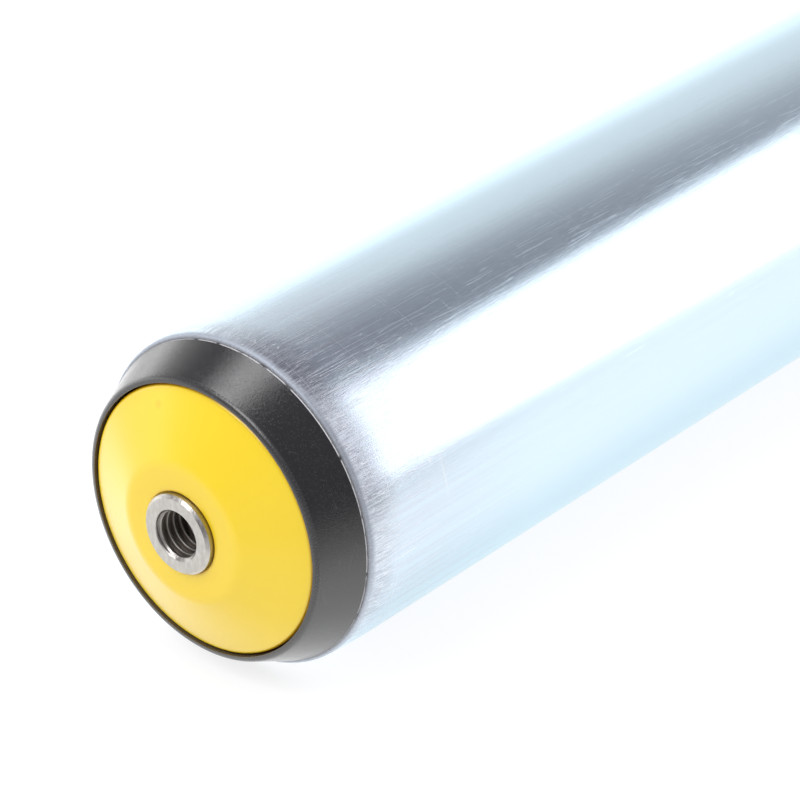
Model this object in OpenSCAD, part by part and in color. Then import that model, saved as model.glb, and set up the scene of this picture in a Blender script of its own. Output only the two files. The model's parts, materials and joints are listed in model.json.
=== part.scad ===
// Conveyor roller: a plated steel tube that turns on two sealed ball bearings round a fixed shaft.
// The roller lies along Y, with its middle at the origin and +Z up.
// End pieces are revolved in an end frame: its origin is on the axis at the end of the tube,
// +Z points out of the roller, and a profile's x is its radius.

/* [Shaft] */
// Length of the shaft, the clear width between the two side plates that it is bolted to
shaft_l = 300; // [200:1:600]
// Diameter of the shaft
shaft_d = 12; // [10:0.5:13]
// How far each end of the shaft stands out past the housing's lip
shaft_reach = 5; // [3:0.5:10]
// Chamfer round each end face
face_chamfer = 0.45; // [0.2:0.05:1]
// Core diameter of the tapped hole in each end, 6.8 for M8
core_d = 6.8; // [5:0.1:8]
// Depth of the tapped hole behind its mouth chamfer
core_l = 17.5; // [12:0.5:25]
// Chamfer at the mouth of the tapped hole
mouth_chamfer = 0.5; // [0.2:0.05:0.8]

/* [Tube] */
// Outside diameter of the tube
tube_d = 50; // [48:0.5:60]
// Wall of the tube
tube_wall = 1.5; // [1:0.1:2]
// Length at each end over which the tube is rolled inward
rolled_l = 5; // [3:0.5:8]
// How far the end of the tube is rolled in, on the radius
rolled_in = 0.3; // [0.1:0.05:0.5]
// Outer edge radius of the tube's ends
tube_edge_r = 0.6; // [0.3:0.05:0.8]

/* [Bearing housing] */
// Height of the housing's cone, from the flange edge to the front of the lip
cone_h = 6.75; // [5:0.25:9]
// Slope of the cone to the roller's axis
cone_angle = 24; // [15:0.5:30]
// Width of the shadow groove between the flange edge and the tube
flange_groove = 0.25; // [0.1:0.05:0.5]
// Outer edge radius of the lip
lip_r = 0.8; // [0.4:0.05:0.9]
// Thickness of the lip
lip_wall = 0.95; // [0.9:0.05:1.5]
// Length of the barrel inside the tube
barrel_l = 20; // [17:0.5:30]
// Wall of the barrel
barrel_wall = 2; // [1.5:0.1:2.5]
// Wall of the boss that holds the bearing
boss_wall = 2; // [1.5:0.1:2.5]
// Thickness of the wall between the boss and the barrel
web_t = 2; // [1.5:0.1:3]
// Number of ribs between the boss and the barrel
rib_count = 12; // [6:1:18]
// Thickness of each rib
rib_t = 1.2; // [0.8:0.1:2]

/* [Bearing] */
// Bore of the ball bearing
bearing_bore = 15; // [14.5:0.5:17]
// Outside diameter of the ball bearing
bearing_d = 32; // [30:0.5:34]
// Width of the ball bearing
bearing_w = 9; // [8.5:0.5:11]
// Depth of the bearing's outer face behind the end of the tube
bearing_depth = 1; // [0.5:0.25:2]
// Diameter of each ball, 3/16 inch
ball_d = 4.762; // [4.5:0.001:5]
// Number of balls in each bearing
ball_count = 9; // [7:1:10]
// Running clearance between a ball and each raceway
ball_clearance = 0.03; // [0.02:0.01:0.05]

/* [Seal cap] */
// Gap between the cap's rim and the housing's lip
cap_gap = 0.35; // [0.2:0.05:0.6]
// Diameter of the flat round the shaft
flat_d = 20.5; // [18:0.5:24]
// How far the shaft stands out of the flat
hub_reach = 1.1; // [0.5:0.1:2]
// Slope of the cap's face
cap_angle = 23.3; // [18:0.1:25]
// Radius of the cap's rim
rim_r = 1; // [0.5:0.1:1.2]
// Wall of the cap
cap_wall = 1.6; // [1.2:0.1:2]
// Thickness of the rings of the labyrinth, on the cap and on the housing
labyrinth_t = 0.9; // [0.7:0.05:1]
// Gap between the end of a labyrinth ring and the wall that it faces
labyrinth_gap = 0.5; // [0.3:0.05:0.8]
// Least gap between neighbouring rings: more pairs of rings are set where there is room
labyrinth_side = 0.45; // [0.3:0.05:0.6]

/* [Retaining parts] */
// Thickness of the retaining ring on the shaft
clip_t = 1; // [0.8:0.1:1.2]
// Depth of the retaining ring's groove in the shaft
clip_groove = 0.25; // [0.2:0.05:0.4]
// Width of the retaining ring, opposite its opening
clip_w = 1.5; // [1.2:0.1:1.8]
// Reach of the retaining ring's ears past the shaft
clip_ear = 2.1; // [1.8:0.1:2.2]
// Diameter of the eyes in the ears
clip_eye = 1.4; // [1:0.1:1.5]
// Length of the inner seal behind the bearing
seal_l = 4; // [3.5:0.1:5]
// Wall of the inner seal
seal_wall = 1.1; // [0.9:0.1:1.4]
// Running gap between the inner seal and the shaft
seal_gap = 0.4; // [0.2:0.05:0.6]

/* [Hidden] */
$fn = 96;
ends = ["a", "b"];

// Lengths along the axis, in the end frame
lip_z = flange_groove + cone_h;
face_z = lip_z + shaft_reach;
flat_z = face_z - hub_reach;
bearing_z = -bearing_depth - bearing_w;
boss_z = bearing_z - seal_l;
web_z = web_t - bearing_depth;
clip_z = bearing_z - clip_t;
clip_taper = 0.35;
clip_opening = 13;
clip_ear_angle = 24;
tube_l = shaft_l - 2 * face_z;
drill_half_angle = 59;

// Slope of the rolled-in end, so that it runs smoothly into the rounded edge
rolled_angle = acos(tube_edge_r / norm([rolled_in + tube_edge_r, rolled_l - tube_edge_r]))
    - atan2(rolled_l - tube_edge_r, rolled_in + tube_edge_r);

// Radii of the housing
barrel_r = tube_d / 2 - tube_wall;
flange_r = tube_d / 2 - rolled_in - tube_edge_r;
lip_round_r = flange_r - (lip_z - lip_r - flange_groove) * tan(cone_angle) - lip_r / cos(cone_angle);
lip_bore_r = lip_round_r + lip_r * cos(cone_angle) - lip_wall;
lip_break = 0.2;
barrel_lead = 1;
boss_r = bearing_d / 2 + boss_wall;

// Radii of the bearing
pitch_r = (bearing_bore + bearing_d) / 4;
ball_r = ball_d / 2;
groove_r = 1.03 * ball_r;
shoulder_h = 0.78 * ball_r;
inner_shoulder_r = pitch_r - shoulder_h;
outer_shoulder_r = pitch_r + shoulder_h;
race_chamfer = 0.3;
shield_t = 0.5;
shield_inset = 0.4;
shield_seat = 0.7;
shield_seat_r = outer_shoulder_r + shield_seat;
shield_gap = 0.3;
cage_gap = 0.8;
cage_pocket_gap = 0.1;
cage_back = 3.1;
cage_front = 1;

// Radii of the cap and the labyrinth
cap_r = lip_bore_r - cap_gap;
sleeve_r = bearing_bore / 2;
collar_inset = 0.5;
collar_r = inner_shoulder_r - collar_inset;
hub_recess = 0.25;
hub_recess_l = 0.8;
opening_gap = 0.15;
opening_r = shield_seat_r + opening_gap;
skirt_r = cap_r - labyrinth_t;
labyrinth_pairs = floor(((skirt_r - opening_r) / (labyrinth_t + labyrinth_side) + 1) / 2);
ring_step = (skirt_r - opening_r) / (2 * labyrinth_pairs - 1);
housing_ring_radii = [for (i = [0 : labyrinth_pairs - 1]) opening_r + 2 * i * ring_step];
cap_ring_radii = [for (i = [1 : labyrinth_pairs]) opening_r + (2 * i - 1) * ring_step];
ring_z = web_z + labyrinth_gap;

// Height of the cap's outer face, and of its inner face, at a radius
function face_height(r) = flat_z - max(0, r - flat_d / 2) * tan(cap_angle);
function under_z(r) = face_height(r) - cap_wall / cos(cap_angle);

// A ball's node is named after its end and its place in the cage, such as ball_a3
ball_nodes = [for (e = ends) for (i = [1 : ball_count]) str("ball_", e, i)];

end_pieces = ["bearing_housing", "seal_cap", "outer_race", "inner_race", "ball_cage",
    "outer_shield", "inner_shield", "inner_seal", "retaining_ring"];

// Places its children at an end of the roller: end a is at -Y, end b at +Y
module at_end(e)
    translate([0, (e == "a" ? -1 : 1) * tube_l / 2, 0])
        rotate([e == "a" ? 90 : -90, 0, 0])
            children();

// A ring in a profile, from radius r0 to r1 and from z0 up to z1
module ring(r0, r1, z0, z1)
    translate([r0, z0])
        square([r1 - r0, z1 - z0]);

// Cut from a profile to round an edge: what lies outside a circle of radius r about the point at,
// between the directions from and to, in degrees
module edge_cut(at, r, from, to)
    translate(at)
        difference() {
            polygon([
                [0, 0], 2 * r * [cos(from), sin(from)],
                4 * r * [cos((from + to) / 2), sin((from + to) / 2)], 2 * r * [cos(to), sin(to)]]);
            circle(r);
        }

// ---- Tube and shaft ----

// The tube, rolled in at each end and rounded at its outer edges
module tube() {
    end_z = tube_l / 2;
    corner_r = tube_d / 2 - rolled_l * tan(rolled_angle);
    color([0.74, 0.80, 0.86])
        rotate([90, 0, 0])
            rotate_extrude()
                difference() {
                    polygon([
                        [tube_d / 2, rolled_l - end_z], [tube_d / 2, end_z - rolled_l],
                        [corner_r, end_z], [barrel_r - rolled_in, end_z],
                        [barrel_r, end_z - rolled_l], [barrel_r, rolled_l - end_z],
                        [barrel_r - rolled_in, -end_z], [corner_r, -end_z]]);
                    for (m = [0, 1])
                        mirror([0, m])
                            edge_cut([flange_r, end_z - tube_edge_r], tube_edge_r, rolled_angle, 90);
                }
}

// Removed from each end of the shaft: the tapped hole with its drill point, and its mouth chamfer
module tapped_hole() {
    drill_point = core_d / 2 / tan(drill_half_angle);
    translate([0, 0, face_z - mouth_chamfer - core_l]) {
        cylinder(d = core_d, h = core_l + 1);
        translate([0, 0, -drill_point])
            cylinder(d1 = 0, d2 = core_d, h = drill_point);
    }
    translate([0, 0, face_z - mouth_chamfer])
        cylinder(d1 = core_d, d2 = core_d + 4 * mouth_chamfer, h = 2 * mouth_chamfer);
}

// Removed from the shaft: the groove of the retaining ring
module clip_groove_cut()
    rotate_extrude()
        ring(shaft_d / 2 - clip_groove, shaft_d, clip_z, bearing_z);

module shaft()
    color([0.72, 0.71, 0.69])
        difference() {
            rotate([90, 0, 0])
                rotate_extrude()
                    polygon([
                        [0, -shaft_l / 2], [shaft_d / 2 - face_chamfer, -shaft_l / 2],
                        [shaft_d / 2, -shaft_l / 2 + face_chamfer],
                        [shaft_d / 2, shaft_l / 2 - face_chamfer],
                        [shaft_d / 2 - face_chamfer, shaft_l / 2], [0, shaft_l / 2]]);
            for (e = ends)
                at_end(e) {
                    tapped_hole();
                    clip_groove_cut();
                }
        }

// ---- Bearing housing ----

// The housing's outline, from the barrel in the tube to the rounded lip
module housing_outline()
    difference() {
        polygon([
            [0, -barrel_l], [barrel_r - barrel_lead, -barrel_l],
            [barrel_r, barrel_lead - barrel_l], [barrel_r, -rolled_l],
            [barrel_r - rolled_in, 0], [flange_r - 2 * flange_groove, 0], [flange_r, flange_groove],
            [flange_r - cone_h * tan(cone_angle), lip_z], [0, lip_z]]);
        edge_cut([lip_round_r, lip_z - lip_r], lip_r, cone_angle, 90);
    }

// The bowl in front, with the housing's labyrinth rings left standing
module bowl()
    difference() {
        union() {
            ring(0, lip_bore_r, web_z, lip_z + 1);
            polygon([
                [0, lip_z - lip_break], [lip_bore_r, lip_z - lip_break],
                [lip_bore_r + 2 * lip_break, lip_z + lip_break], [0, lip_z + lip_break]]);
        }
        for (r = housing_ring_radii)
            ring(r, r + labyrinth_t, web_z - 1, under_z(r + labyrinth_t) - labyrinth_gap);
    }

module bearing_housing() {
    rib_in = boss_r - boss_wall / 2;
    rib_out = barrel_r - barrel_wall / 2;
    color([0.13, 0.13, 0.14])
        union() {
            rotate_extrude()
                difference() {
                    housing_outline();
                    bowl();
                    ring(0, opening_r, -barrel_l - 1, lip_z);
                    ring(0, bearing_d / 2, -barrel_l - 1, -bearing_depth);
                    ring(0, boss_r, -barrel_l - 1, boss_z);
                    ring(boss_r, barrel_r - barrel_wall, -barrel_l - 1, web_z - web_t);
                }
            for (i = [0 : rib_count - 1])
                rotate([0, 0, i * 360 / rib_count])
                    translate([rib_in, -rib_t / 2, boss_z])
                        cube([rib_out - rib_in, rib_t, web_z - web_t / 2 - boss_z]);
        }
}

// ---- Seal cap ----

// Cut out of the cap's back between radii r0 and r1, up to the inner face
module cap_pocket(r0, r1)
    polygon([
        [r0, ring_z - 1], [r1, ring_z - 1], [r1, under_z(r1)],
        [max(r0, flat_d / 2), under_z(max(r0, flat_d / 2))], [r0, under_z(r0)]]);

// The cap: a coned face with a rounded rim, two labyrinth rings, a collar against the inner race
// and a sleeve that fills the bearing's bore
module seal_cap()
    color([0.98, 0.84, 0.22])
        rotate_extrude()
            difference() {
                polygon([
                    [shaft_d / 2, flat_z], [flat_d / 2, flat_z], [cap_r, face_height(cap_r)],
                    [cap_r, ring_z], [collar_r, ring_z], [collar_r, -bearing_depth],
                    [sleeve_r, -bearing_depth], [sleeve_r, bearing_z], [shaft_d / 2, bearing_z]]);
                edge_cut([cap_r - rim_r, face_height(cap_r - rim_r) - rim_r / cos(cap_angle)],
                    rim_r, 0, 90 - cap_angle);
                for (i = [0 : labyrinth_pairs - 1])
                    cap_pocket(i == 0 ? collar_r : cap_ring_radii[i - 1] + labyrinth_t, cap_ring_radii[i]);
                ring(0, shaft_d / 2 + hub_recess, flat_z - hub_recess_l, flat_z + 1);
            }

// ---- Ball bearing ----

// Moves its children from the end frame to the middle of the bearing
module at_bearing()
    translate([0, 0, -bearing_depth - bearing_w / 2])
        children();

// A race's profile, w wide with chamfered corners, between radii r0 and r1
module race_blank(r0, r1) {
    w = bearing_w / 2;
    c = race_chamfer;
    polygon([
        [r0 + c, -w], [r1 - c, -w], [r1, c - w], [r1, w - c],
        [r1 - c, w], [r0 + c, w], [r0, w - c], [r0, c - w]]);
}

module inner_race()
    color([0.62, 0.63, 0.65])
        at_bearing()
            rotate_extrude()
                difference() {
                    race_blank(sleeve_r, inner_shoulder_r);
                    translate([pitch_r - ball_r - ball_clearance + groove_r, 0])
                        circle(groove_r);
                }

module outer_race()
    color([0.62, 0.63, 0.65])
        at_bearing()
            rotate_extrude()
                difference() {
                    race_blank(outer_shoulder_r, bearing_d / 2);
                    translate([pitch_r + ball_r + ball_clearance - groove_r, 0])
                        circle(groove_r);
                    for (m = [0, 1])
                        mirror([0, m])
                            ring(0, shield_seat_r, bearing_w / 2 - shield_inset - shield_t, bearing_w);
                }

module ball(i)
    color([0.80, 0.81, 0.83])
        at_bearing()
            rotate([0, 0, i * 360 / ball_count])
                translate([pitch_r, 0, 0])
                    sphere(d = ball_d);

// A one-piece snap cage: a ring on the inner side of the balls, with pockets open to the outside
module ball_cage()
    color([0.75, 0.70, 0.58])
        at_bearing()
            difference() {
                rotate_extrude()
                    ring(inner_shoulder_r + cage_gap, outer_shoulder_r - cage_gap, -cage_back, cage_front);
                for (i = [1 : ball_count])
                    rotate([0, 0, i * 360 / ball_count])
                        translate([pitch_r, 0, 0])
                            sphere(r = ball_r + cage_pocket_gap);
            }

// A shield seated in the outer race, side 1 on the outer side and -1 on the inner side
module shield(side)
    color([0.55, 0.56, 0.58])
        at_bearing()
            translate([0, 0, side * (bearing_w / 2 - shield_inset) - (side > 0 ? shield_t : 0)])
                rotate_extrude()
                    ring(inner_shoulder_r + shield_gap, shield_seat_r, 0, shield_t);

// ---- Parts behind the bearing ----

// A cup pressed in behind the bearing: its rim holds the outer race, its floor closes on the shaft
module inner_seal()
    color([0.20, 0.20, 0.21])
        rotate_extrude() {
            ring(bearing_d / 2 - seal_wall, bearing_d / 2, boss_z, bearing_z);
            ring(shaft_d / 2 + seal_gap, bearing_d / 2, boss_z, boss_z + seal_wall);
        }

// A spring ring in the shaft's groove, thinner towards its opening, with an eye in each ear
module retaining_ring() {
    ear_r = shaft_d / 2 + clip_ear / 2;
    color([0.35, 0.35, 0.36])
        translate([0, 0, clip_z])
            linear_extrude(clip_t)
                difference() {
                    union() {
                        translate([-clip_taper, 0])
                            circle(shaft_d / 2 + clip_w);
                        for (s = [-1, 1])
                            rotate(s * clip_ear_angle)
                                translate([ear_r, 0])
                                    circle(clip_ear / 2 + clip_taper);
                    }
                    circle(shaft_d / 2 - clip_groove);
                    polygon([[0, 0], shaft_d * [1, -tan(clip_opening)], shaft_d * [1, tan(clip_opening)]]);
                    for (s = [-1, 1])
                        rotate(s * clip_ear_angle)
                            translate([ear_r, 0])
                                circle(d = clip_eye);
                }
}

tube();
shaft();
for (e = ends) {
    at_end(e) bearing_housing();
    at_end(e) seal_cap();
    at_end(e) outer_race();
    at_end(e) inner_race();
    at_end(e) ball_cage();
    at_end(e) shield(1);
    at_end(e) shield(-1);
    at_end(e) inner_seal();
    at_end(e) retaining_ring();
    for (i = [1 : ball_count])
        at_end(e) ball(i);
}
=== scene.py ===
import json
import math
import bpy
import numpy as np
from mathutils import Matrix, Vector


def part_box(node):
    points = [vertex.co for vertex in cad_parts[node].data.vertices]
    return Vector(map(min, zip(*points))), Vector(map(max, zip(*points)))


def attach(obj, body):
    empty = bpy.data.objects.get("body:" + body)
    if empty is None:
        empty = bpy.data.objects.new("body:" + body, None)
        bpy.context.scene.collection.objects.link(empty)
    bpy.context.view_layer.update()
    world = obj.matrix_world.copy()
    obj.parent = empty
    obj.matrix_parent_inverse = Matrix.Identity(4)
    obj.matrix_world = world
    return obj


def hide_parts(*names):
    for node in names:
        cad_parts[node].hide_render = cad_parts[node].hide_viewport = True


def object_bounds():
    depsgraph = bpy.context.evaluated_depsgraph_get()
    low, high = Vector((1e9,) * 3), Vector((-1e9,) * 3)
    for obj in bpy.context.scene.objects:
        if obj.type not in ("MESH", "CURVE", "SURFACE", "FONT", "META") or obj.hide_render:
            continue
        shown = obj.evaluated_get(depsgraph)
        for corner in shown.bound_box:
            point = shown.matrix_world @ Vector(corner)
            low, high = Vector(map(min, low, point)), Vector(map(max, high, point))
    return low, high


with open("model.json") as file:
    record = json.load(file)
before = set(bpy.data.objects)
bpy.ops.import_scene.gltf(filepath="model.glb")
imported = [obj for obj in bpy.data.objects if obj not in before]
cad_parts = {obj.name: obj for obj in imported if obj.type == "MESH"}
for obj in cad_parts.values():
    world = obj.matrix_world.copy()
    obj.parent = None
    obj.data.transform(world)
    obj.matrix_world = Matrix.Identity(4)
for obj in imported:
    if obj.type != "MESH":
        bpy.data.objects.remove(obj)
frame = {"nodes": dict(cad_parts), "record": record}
cadBox = [list(corner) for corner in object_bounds()]
mm = 0.001
print("frame loaded with", len(frame["nodes"]), "nodes")

# The roller lies along Y. An end piece is drawn in its end's own frame: radius and height in mm,
# with height 0 at the end of the tube and growing out of the roller.
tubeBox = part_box("tube")
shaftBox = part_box("shaft")
halfTube = tubeBox[1].y / mm
tubeRadius = tubeBox[1].x / mm
halfShaft = shaftBox[1].y / mm


def roundedOutline(corners, closed=True, steps=5):
    # Rounds each corner (radius, height, fillet) of an outline. The arc touches both edges at
    # fillet / tan(half the corner's angle) from the corner, and is swung round its centre from the one
    # touch to the other. Where two arcs would meet on an edge, both are made smaller in the same
    # proportion. One more point stands just past each end of an arc, so that smooth shading stays on
    # the arc. An open outline keeps its end points. Returns points and a mark of 1 on arcs.
    arcShare, spareShare = 0.94, 0.45  # of an edge's length, and of what its two arcs leave of it
    corners = np.array(corners, float)
    points, fillets = corners[:, :2], corners[:, 2]
    a, b = np.roll(points, 1, axis=0) - points, np.roll(points, -1, axis=0) - points
    length = np.linalg.norm(b, axis=1)
    a /= np.linalg.norm(a, axis=1)[:, None]
    b /= length[:, None]
    half = np.arccos(np.clip((a * b).sum(axis=1), -1, 1)) / 2
    wanted = fillets / np.tan(half)
    share = np.minimum(1, arcShare * length / np.maximum(wanted + np.roll(wanted, -1), 1e-6))
    touch = wanted * np.minimum(share, np.roll(share, 1))
    room = spareShare * (length - touch - np.roll(touch, -1))
    spare = np.minimum(0.25 * touch + 0.02, np.minimum(room, np.roll(room, 1)))
    inward = (a + b) / np.linalg.norm(a + b, axis=1)[:, None]
    centre = points + inward * (touch / np.cos(half))[:, None]
    start, end = points + a * touch[:, None] - centre, points + b * touch[:, None] - centre
    turn = np.arctan2(start[:, 0] * end[:, 1] - start[:, 1] * end[:, 0], (start * end).sum(axis=1))
    angle = (turn[:, None] * np.linspace(0, 1, steps + 1))[:, :, None]
    sideways = np.stack([-start[:, 1], start[:, 0]], axis=1)
    arc = centre[:, None] + np.cos(angle) * start[:, None] + np.sin(angle) * sideways[:, None]
    before, after = points + a * (touch + spare)[:, None], points + b * (touch + spare)[:, None]
    made = np.concatenate([before[:, None], arc, after[:, None]], axis=1)
    marks = np.ones(made.shape[:2])
    marks[:, [0, -1]] = 0
    if closed:
        return made.reshape(-1, 2), marks.reshape(-1)
    made = np.vstack([points[:1], made[1:-1].reshape(-1, 2), points[-1:]])
    return made, np.concatenate([[0], marks[1:-1].reshape(-1), [0]])


def meshObject(name, points, quads, triangles=()):
    mesh = bpy.data.meshes.new(name)
    mesh.from_pydata(points.tolist(), [], quads.tolist() + np.asarray(triangles).tolist())
    mesh.polygons.foreach_set("use_smooth", np.ones(len(mesh.polygons), bool))
    mesh.update()
    piece = bpy.data.objects.new(name, mesh)
    bpy.context.scene.collection.objects.link(piece)
    return piece


def revolve(name, outline, marks, side=-1, origin=0.0, segments=192, widen=None, poles=False):
    # An outline turned round the Y axis: x = r sin t, y = side (origin + height), z = r cos t, where t
    # runs round the axis. widen(t, radius, height) may add to the radius. The outline closes on itself,
    # or with poles its two ends lie on the axis and are closed with fans of triangles. The marks go
    # to the point attribute edge.
    rings = outline[1:-1] if poles else outline
    radius, height = rings[:, :1], rings[:, 1:]
    t = np.linspace(0, 2 * np.pi, segments, endpoint=False)[None, :]
    radius = radius + (0 * t if widen is None else widen(t, radius, height))
    x, z = radius * np.sin(t), radius * np.cos(t)
    y = np.broadcast_to(side * (origin + height), x.shape)
    points = np.stack([x, y, z], axis=-1).reshape(-1, 3)
    rows = len(rings)
    i, j = np.meshgrid(np.arange(rows - poles), np.arange(segments), indexing="ij")
    down, right = (i + 1) % rows, (j + 1) % segments
    first, below = i * segments, down * segments
    quads = np.stack([first + j, below + j, below + right, first + right], axis=-1).reshape(-1, 4)
    fans = np.zeros((0, 3), int)
    if poles:
        tips = [[0, side * (origin + h), 0] for h in (outline[0, 1], outline[-1, 1])]
        poleA, poleB = np.full(segments, len(points)), np.full(segments, len(points) + 1)
        points = np.vstack([points, tips])
        start = np.arange(segments)
        end = start + (rows - 1) * segments
        fans = np.vstack([np.stack([poleA, start, np.roll(start, -1)], axis=-1),
                          np.stack([end, poleB, np.roll(end, -1)], axis=-1)])
    if side > 0:
        quads, fans = quads[:, ::-1], fans[:, ::-1]
    piece = meshObject(name, points * mm, quads, fans)
    values = np.zeros(len(points), np.float32)
    values[:rows * segments] = np.repeat(marks[1:-1] if poles else marks, segments)
    piece.data.attributes.new("edge", "FLOAT", "POINT").data.foreach_set("value", values)
    return piece


def dress(piece, material, body, slotName, *nodes):
    # Gives a piece its finish, its body and the nodes that it stands for.
    piece.data.materials.append(material)
    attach(piece, body)
    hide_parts(*nodes)


def addNode(tree, kind, inputs=None, **settings):
    # Inputs are set by name or place, to a value or to another node's output socket.
    node = tree.nodes.new(kind)
    for key, value in settings.items():
        setattr(node, key, value)
    for key, value in (inputs or {}).items():
        if isinstance(value, bpy.types.NodeSocket):
            tree.links.new(value, node.inputs[key])
        else:
            node.inputs[key].default_value = value
    return node


def mathOf(tree, operation, *values, clamp=False):
    return addNode(tree, "ShaderNodeMath", dict(enumerate(values)), operation=operation,
                   use_clamp=clamp).outputs[0]


def times(tree, first, second):
    return mathOf(tree, "MULTIPLY", first, second)


def larger(tree, first, second):
    return mathOf(tree, "MAXIMUM", first, second)


def addShares(tree, total, parts, shares):
    # total + part * share, for each part that has a share.
    for name, share in shares.items():
        total = mathOf(tree, "MULTIPLY_ADD", parts[name], share, total)
    return total


def rangeOf(tree, value, low, high, toLow=0.0, toHigh=1.0, smooth=True):
    # Brings value from low..high to toLow..toHigh, held at both ends.
    return addNode(tree, "ShaderNodeMapRange",
                   {"Value": value, "From Min": low, "From Max": high, "To Min": toLow, "To Max": toHigh},
                   interpolation_type="SMOOTHSTEP" if smooth else "LINEAR").outputs["Result"]


def overSpan(tree, value, edge, span, toLow=0.0, toHigh=1.0):
    # Goes from toLow to toHigh over a span, given by its two distances short of an edge, all in mm.
    return rangeOf(tree, value, (edge - span[0]) * mm, (edge - span[1]) * mm, toLow, toHigh)


def mixColour(tree, factor, first, second):
    # Goes from first at a factor of 0 to second at 1.
    return addNode(tree, "ShaderNodeMix", {"Factor": factor, 6: first, 7: second},
                   data_type="RGBA").outputs[2]


def startGroup(name, inputs, outputs):
    # Inputs are given as (name, kind, value to start from), outputs as (name, kind).
    tree = bpy.data.node_groups.new(name, "ShaderNodeTree")
    for label, kind, value in inputs:
        socket = tree.interface.new_socket(label, in_out="INPUT", socket_type="NodeSocket" + kind)
        if value is not None:
            socket.default_value = value
    for label, kind in outputs:
        tree.interface.new_socket(label, in_out="OUTPUT", socket_type="NodeSocket" + kind)
    return tree, tree.nodes.new("NodeGroupInput"), tree.nodes.new("NodeGroupOutput")


def useGroup(tree, group, inputs):
    return addNode(tree, "ShaderNodeGroup", inputs, node_tree=group)


def makeLayers(tree, place, layers):
    # Places each group with its own values, and gives its first output by the layer's name.
    return {name: useGroup(tree, group, {"Vector": place, **values}).outputs[0]
            for name, (group, values) in layers.items()}


def startMaterial(name, settings):
    # Settings are what is the same all over the surface, set on the shader's own sockets.
    material = bpy.data.materials.new(name)
    material.use_nodes = True
    tree = material.node_tree
    shader = tree.nodes["Principled BSDF"]
    for key, value in settings.items():
        shader.inputs[key].default_value = value
    place = addNode(tree, "ShaderNodeTexCoord").outputs["Object"]
    return material, tree, shader, place


def setBump(tree, shader, height, strength, distance):
    bump = addNode(tree, "ShaderNodeBump", {"Height": height, "Strength": strength, "Distance": distance})
    tree.links.new(bump.outputs["Normal"], shader.inputs["Normal"])


def makeStreaks():
    # Noise drawn out by the Stretch vector: rolling and brushing marks.
    tree, given, out = startGroup(
        "streaks", [("Vector", "Vector", None), ("Stretch", "Vector", (1, 1, 1)),
                    ("Detail", "Float", 3.0)],
        [("Height", "Float")])
    drawn = addNode(tree, "ShaderNodeVectorMath", {
        0: given.outputs["Vector"], 1: given.outputs["Stretch"]}, operation="MULTIPLY").outputs[0]
    noise = addNode(tree, "ShaderNodeTexNoise", {"Vector": drawn, "Scale": 1.0,
                                                 "Detail": given.outputs["Detail"], "Roughness": 0.6})
    tree.links.new(noise.outputs["Fac"], out.inputs["Height"])
    return tree


def makeScratches():
    # Thin broken lines: where a drawn-out noise passes its middle value, kept in patches.
    tree, given, out = startGroup(
        "scratches", [("Vector", "Vector", None), ("Stretch", "Vector", (1, 1, 1)),
                      ("Width", "Float", 0.01), ("Amount", "Float", 0.5)],
        [("Mask", "Float")])
    drawn = addNode(tree, "ShaderNodeVectorMath", {
        0: given.outputs["Vector"], 1: given.outputs["Stretch"]}, operation="MULTIPLY").outputs[0]
    noise = addNode(tree, "ShaderNodeTexNoise", {
        "Vector": drawn, "Scale": 1.0, "Detail": 1.0}).outputs["Fac"]
    away = mathOf(tree, "ABSOLUTE", mathOf(tree, "SUBTRACT", noise, 0.5))
    line = mathOf(tree, "SUBTRACT", 1.0, mathOf(tree, "DIVIDE", away, given.outputs["Width"]), clamp=True)
    patch = addNode(tree, "ShaderNodeTexNoise", {
        "Vector": drawn, "Scale": 2.3, "Detail": 0.0}).outputs["Fac"]
    keep = mathOf(tree, "GREATER_THAN", patch, mathOf(tree, "SUBTRACT", 1.0, given.outputs["Amount"]))
    tree.links.new(times(tree, line, keep), out.inputs["Mask"])
    return tree


def makeSpecks():
    # Small round specks of mixed size, one in each chosen cell.
    tree, given, out = startGroup(
        "specks", [("Vector", "Vector", None), ("Scale", "Float", 400.0), ("Size", "Float", 0.12),
                   ("Share", "Float", 0.2)],
        [("Mask", "Float")])
    cells = addNode(tree, "ShaderNodeTexVoronoi", {"Vector": given.outputs["Vector"],
                                                   "Scale": given.outputs["Scale"]})
    chance = addNode(tree, "ShaderNodeSeparateColor", {0: cells.outputs["Color"]}).outputs
    size = times(tree, given.outputs["Size"], mathOf(tree, "ADD", chance[1], 0.3))
    spot = mathOf(tree, "SUBTRACT", 1.0, mathOf(tree, "DIVIDE", cells.outputs["Distance"], size), clamp=True)
    chosen = mathOf(tree, "LESS_THAN", chance[0], given.outputs["Share"])
    tree.links.new(times(tree, spot, chosen), out.inputs["Mask"])
    return tree


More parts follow.
